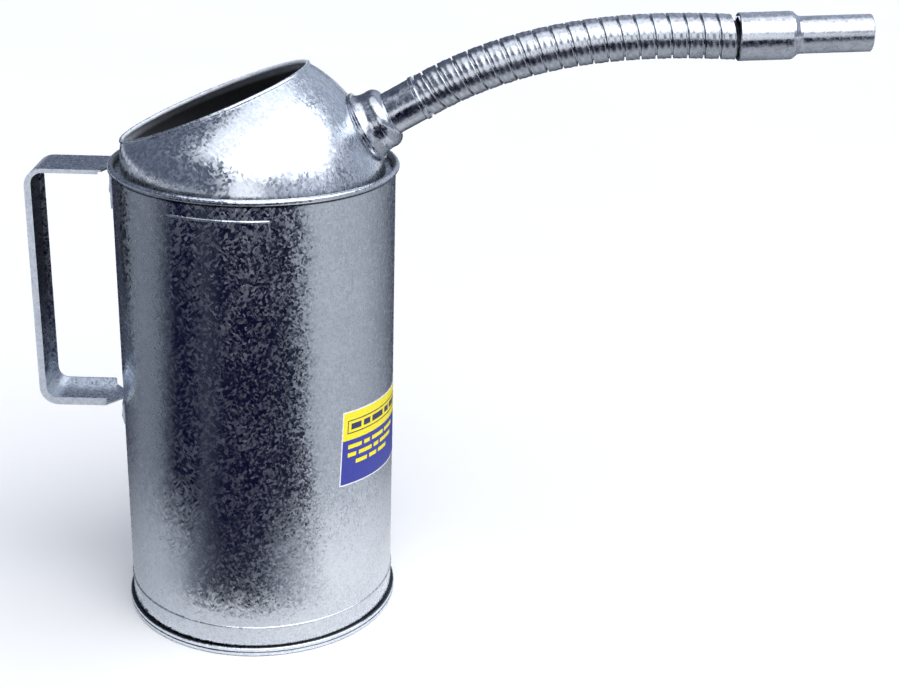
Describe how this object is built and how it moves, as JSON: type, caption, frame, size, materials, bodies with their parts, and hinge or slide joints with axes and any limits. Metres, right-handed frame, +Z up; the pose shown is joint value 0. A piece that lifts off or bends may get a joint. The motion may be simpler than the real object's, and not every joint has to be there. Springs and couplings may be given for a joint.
{
  "type": "oil can",
  "caption": "Galvanised cylindrical oil measure with a hooded slanting mouth, strap handle and bendable metal gooseneck pouring spout.",
  "frame": {"origin": "centre of the base ring, on the can's axis and level with what it stands on", "axes": "+Z up the can's axis, +X towards the spout, -X towards the handle, +Y to the left of someone facing along +X"},
  "size_m": [0.421, 0.1478, 0.3308],
  "materials": {
    "galvanised_sheet": "spangled galvanised sheet, satin",
    "steel_wire": "plain drawn wire inside rolled edges",
    "plated_fitting": "bright zinc plated neck fittings",
    "plated_strip": "zinc plated strip-wound spout",
    "label_film": "two-colour sticker, yellow above blue"
  },
  "bodies": {
    "can": {"body_shell": "galvanised_sheet", "rim_wire": "steel_wire", "bottom": "galvanised_sheet", "hood": "galvanised_sheet", "mouth_wire": "steel_wire", "neck_collar": "plated_fitting", "neck_socket": "plated_fitting", "ferrule": "plated_fitting", "handle": "galvanised_sheet", "weld_upper_near": "galvanised_sheet", "weld_upper_far": "galvanised_sheet", "weld_lower_near": "galvanised_sheet", "weld_lower_far": "galvanised_sheet", "label": "label_film"},
    "turn_01": {"turn_01": "plated_strip"},
    "turn_02": {"turn_02": "plated_strip"},
    "turn_03": {"turn_03": "plated_strip"},
    "turn_04": {"turn_04": "plated_strip"},
    "turn_05": {"turn_05": "plated_strip"},
    "turn_06": {"turn_06": "plated_strip"},
    "turn_07": {"turn_07": "plated_strip"},
    "turn_08": {"turn_08": "plated_strip"},
    "turn_09": {"turn_09": "plated_strip"},
    "turn_10": {"turn_10": "plated_strip"},
    "turn_11": {"turn_11": "plated_strip"},
    "turn_12": {"turn_12": "plated_strip"},
    "turn_13": {"turn_13": "plated_strip"},
    "turn_14": {"turn_14": "plated_strip"},
    "turn_15": {"turn_15": "plated_strip"},
    "turn_16": {"turn_16": "plated_strip"},
    "turn_17": {"turn_17": "plated_strip"},
    "turn_18": {"turn_18": "plated_strip"},
    "turn_19": {"turn_19": "plated_strip"},
    "turn_20": {"turn_20": "plated_strip"},
    "nozzle": {"nozzle": "plated_fitting"}
  },
  "joints": [
    {"name": "flex_01_pitch", "type": "hinge", "parent": "can", "child": "turn_01", "pos_m": [0.08518, 0, 0.2839], "axis": [0, 1, 0], "range_deg": [-6.4, 5.6]},
    {"name": "flex_02_yaw", "type": "hinge", "parent": "turn_01", "child": "turn_02", "pos_m": [0.0921, 0, 0.2879], "axis": [-0.4837, 0, 0.8752], "range_deg": [-5.6, 5.6]},
    {"name": "flex_03_pitch", "type": "hinge", "parent": "turn_02", "child": "turn_03", "pos_m": [0.09918, 0, 0.29163], "axis": [0, 1, 0], "range_deg": [-8.2, 3.8]},
    {"name": "flex_04_yaw", "type": "hinge", "parent": "turn_03", "child": "turn_04", "pos_m": [0.10639, 0, 0.29509], "axis": [-0.4152, 0, 0.9097], "range_deg": [-5.6, 5.6]},
    {"name": "flex_05_pitch", "type": "hinge", "parent": "turn_04", "child": "turn_05", "pos_m": [0.11373, 0, 0.29828], "axis": [0, 1, 0], "range_deg": [-8.1, 3.9]},
    {"name": "flex_06_yaw", "type": "hinge", "parent": "turn_05", "child": "turn_06", "pos_m": [0.12118, 0, 0.30119], "axis": [-0.3478, 0, 0.9376], "range_deg": [-5.6, 5.6]},
    {"name": "flex_07_pitch", "type": "hinge", "parent": "turn_06", "child": "turn_07", "pos_m": [0.12873, 0, 0.30384], "axis": [0, 1, 0], "range_deg": [-8, 4]},
    {"name": "flex_08_yaw", "type": "hinge", "parent": "turn_07", "child": "turn_08", "pos_m": [0.13636, 0, 0.30623], "axis": [-0.2826, 0, 0.9592], "range_deg": [-5.7, 5.7]},
    {"name": "flex_09_pitch", "type": "hinge", "parent": "turn_08", "child": "turn_09", "pos_m": [0.14407, 0, 0.30836], "axis": [0, 1, 0], "range_deg": [-7.8, 4.2]},
    {"name": "flex_10_yaw", "type": "hinge", "parent": "turn_09", "child": "turn_10", "pos_m": [0.15185, 0, 0.31025], "axis": [-0.2205, 0, 0.9754], "range_deg": [-5.7, 5.7]},
    {"name": "flex_11_pitch", "type": "hinge", "parent": "turn_10", "child": "turn_11", "pos_m": [0.15968, 0, 0.31189], "axis": [0, 1, 0], "range_deg": [-7.7, 4.3]},
    {"name": "flex_12_yaw", "type": "hinge", "parent": "turn_11", "child": "turn_12", "pos_m": [0.16755, 0, 0.3133], "axis": [-0.1624, 0, 0.9867], "range_deg": [-5.8, 5.8]},
    {"name": "flex_13_pitch", "type": "hinge", "parent": "turn_12", "child": "turn_13", "pos_m": [0.17546, 0, 0.31449], "axis": [0, 1, 0], "range_deg": [-7.5, 4.5]},
    {"name": "flex_14_yaw", "type": "hinge", "parent": "turn_13", "child": "turn_14", "pos_m": [0.18341, 0, 0.31546], "axis": [-0.1092, 0, 0.994], "range_deg": [-5.8, 5.8]},
    {"name": "flex_15_pitch", "type": "hinge", "parent": "turn_14", "child": "turn_15", "pos_m": [0.19137, 0, 0.31623], "axis": [0, 1, 0], "range_deg": [-7.4, 4.6]},
    {"name": "flex_16_yaw", "type": "hinge", "parent": "turn_15", "child": "turn_16", "pos_m": [0.19935, 0, 0.31682], "axis": [-0.0621, 0, 0.9981], "range_deg": [-5.9, 5.9]},
    {"name": "flex_17_pitch", "type": "hinge", "parent": "turn_16", "child": "turn_17", "pos_m": [0.20734, 0, 0.31723], "axis": [0, 1, 0], "range_deg": [-7.1, 4.9]},
    {"name": "flex_18_yaw", "type": "hinge", "parent": "turn_17", "child": "turn_18", "pos_m": [0.21533, 0, 0.31748], "axis": [-0.0227, 0, 0.9997], "range_deg": [-5.9, 5.9]},
    {"name": "flex_19_pitch", "type": "hinge", "parent": "turn_18", "child": "turn_19", "pos_m": [0.22333, 0, 0.31759], "axis": [0, 1, 0], "range_deg": [-6.8, 5.2]},
    {"name": "flex_20_yaw", "type": "hinge", "parent": "turn_19", "child": "turn_20", "pos_m": [0.23133, 0, 0.31759], "axis": [0.0059, 0, 1], "range_deg": [-6, 6]},
    {"name": "flex_21_pitch", "type": "hinge", "parent": "turn_20", "child": "nozzle", "pos_m": [0.23933, 0, 0.3175], "axis": [0, 1, 0], "range_deg": [-2.1, 9.9]}
  ]
}
